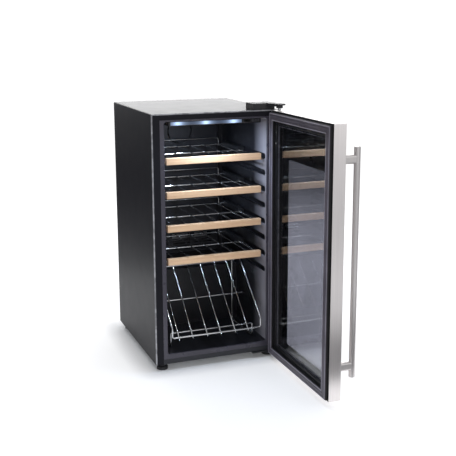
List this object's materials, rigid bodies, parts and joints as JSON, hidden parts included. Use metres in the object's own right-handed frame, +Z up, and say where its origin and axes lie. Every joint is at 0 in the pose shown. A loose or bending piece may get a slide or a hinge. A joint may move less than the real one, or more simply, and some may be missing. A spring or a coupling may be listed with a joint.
{
  "type": "wine cooler",
  "caption": "Free-standing wine cooler with a framed glass door standing open, a vertical bar handle, wood-fronted wire shelves and a sloping display rack.",
  "frame": {"origin": "on the floor, under the middle of the cabinet's width and depth", "axes": "+X to the right seen from the front, +Y to the back, +Z up; the door stands open at 90 degrees"},
  "size_m": [0.3932, 0.762, 0.69],
  "materials": {
    "painted_side": "dark grey satin paint",
    "galvanised": "zinc coated sheet",
    "black_plastic": "black satin plastic",
    "liner_plastic": "dark grey satin plastic",
    "foam": "rigid foam",
    "evaporator_metal": "bare roll-bond plate",
    "board": "green board",
    "clear_lens": "milky clear plastic",
    "key_plastic": "dark grey plastic",
    "black_paint": "black enamel",
    "rubber": "black rubber",
    "copper": "drawn copper tube",
    "steel": "zinc plated steel",
    "brushed_steel": "brushed along the height",
    "glass": "smoked float glass",
    "spacer": "perforated spacer",
    "gasket": "ribbed magnetic gasket",
    "chrome": "bright chrome plated wire",
    "beech": "light beech, satin lacquer"
  },
  "bodies": {
    "cabinet": {"outer_wrap": "painted_side", "rear_panel": "galvanised", "base_plate": "galvanised", "kick_panel": "painted_side", "foam_insulation": "foam", "inner_liner": "liner_plastic", "front_trim": "black_plastic", "machine_room_wall": "galvanised", "evaporator": "evaporator_metal", "air_cover": "liner_plastic", "fan_motor": "black_plastic", "light_housing": "black_plastic", "control_board": "board", "light_lens": "clear_lens", "display_window": "clear_lens", "temperature_probe": "liner_plastic", "compressor": "black_paint", "compressor_mounts": "rubber", "starter_box": "black_plastic", "refrigerant_tubes": "copper", "condenser_coil": "black_paint", "condenser_wires": "black_paint", "condenser_brackets": "black_plastic", "drip_tray": "black_plastic", "mains_gland": "black_plastic", "upper_hinge_bracket": "painted_side", "upper_hinge_cover": "black_plastic", "lower_hinge_bracket": "painted_side", "hinge_pins": "steel", "hinge_screws": "steel", "rear_feet": "rubber"},
    "door": {"door_skin": "brushed_steel", "door_inner_frame": "black_plastic", "outer_glass": "glass", "inner_glass": "glass", "glass_spacer": "spacer", "door_gasket": "gasket", "handle_bar": "brushed_steel", "handle_posts": "brushed_steel", "handle_screws": "steel", "hinge_bushes": "black_plastic"},
    "fan": {"fan_rotor": "black_plastic"},
    "light_key": {"key_light": "key_plastic"},
    "up_key": {"key_up": "key_plastic"},
    "down_key": {"key_down": "key_plastic"},
    "left_foot": {"front_foot_left": "black_plastic"},
    "right_foot": {"front_foot_right": "black_plastic"},
    "rack": {"bottom_rack": "chrome"},
    "shelf_1": {"shelf_1_front": "beech", "shelf_1_wire": "chrome", "shelf_1_glides": "black_plastic"},
    "shelf_2": {"shelf_2_front": "beech", "shelf_2_wire": "chrome", "shelf_2_glides": "black_plastic"},
    "shelf_3": {"shelf_3_front": "beech", "shelf_3_wire": "chrome", "shelf_3_glides": "black_plastic"},
    "shelf_4": {"shelf_4_front": "beech", "shelf_4_wire": "chrome", "shelf_4_glides": "black_plastic"}
  },
  "joints": [
    {"name": "door_hinge", "type": "hinge", "parent": "cabinet", "child": "door", "pos_m": [0.1615, -0.2195, 0.3435], "axis": [0, 0, 1], "range_deg": [-90, 25]},
    {"name": "fan_spin", "type": "hinge", "parent": "cabinet", "child": "fan", "pos_m": [0, 0.1326, 0.59], "axis": [0, 1, 0], "continuous": true},
    {"name": "light_key_press", "type": "slide", "parent": "cabinet", "child": "light_key", "axis": [0, 1, 0], "range_m": [0, 0.0008], "stiffness_N_per_m": 300},
    {"name": "up_key_press", "type": "slide", "parent": "cabinet", "child": "up_key", "axis": [0, 1, 0], "range_m": [0, 0.0008], "stiffness_N_per_m": 300},
    {"name": "down_key_press", "type": "slide", "parent": "cabinet", "child": "down_key", "axis": [0, 1, 0], "range_m": [0, 0.0008], "stiffness_N_per_m": 300},
    {"name": "shelf_1_pull", "type": "slide", "parent": "cabinet", "child": "shelf_1", "axis": [0, -1, 0], "range_m": [0, 0.15]},
    {"name": "shelf_2_pull", "type": "slide", "parent": "cabinet", "child": "shelf_2", "axis": [0, -1, 0], "range_m": [0, 0.15]},
    {"name": "shelf_3_pull", "type": "slide", "parent": "cabinet", "child": "shelf_3", "axis": [0, -1, 0], "range_m": [0, 0.15]},
    {"name": "shelf_4_pull", "type": "slide", "parent": "cabinet", "child": "shelf_4", "axis": [0, -1, 0], "range_m": [0, 0.15]},
    {"name": "rack_pull", "type": "slide", "parent": "cabinet", "child": "rack", "axis": [0, -1, 0], "range_m": [0, 0.12]},
    {"name": "left_foot_turn", "type": "hinge", "parent": "cabinet", "child": "left_foot", "pos_m": [-0.1505, -0.1725, 0.015], "axis": [0, 0, 1], "continuous": true},
    {"name": "right_foot_turn", "type": "hinge", "parent": "cabinet", "child": "right_foot", "pos_m": [0.1505, -0.1725, 0.015], "axis": [0, 0, 1], "continuous": true}
  ]
}
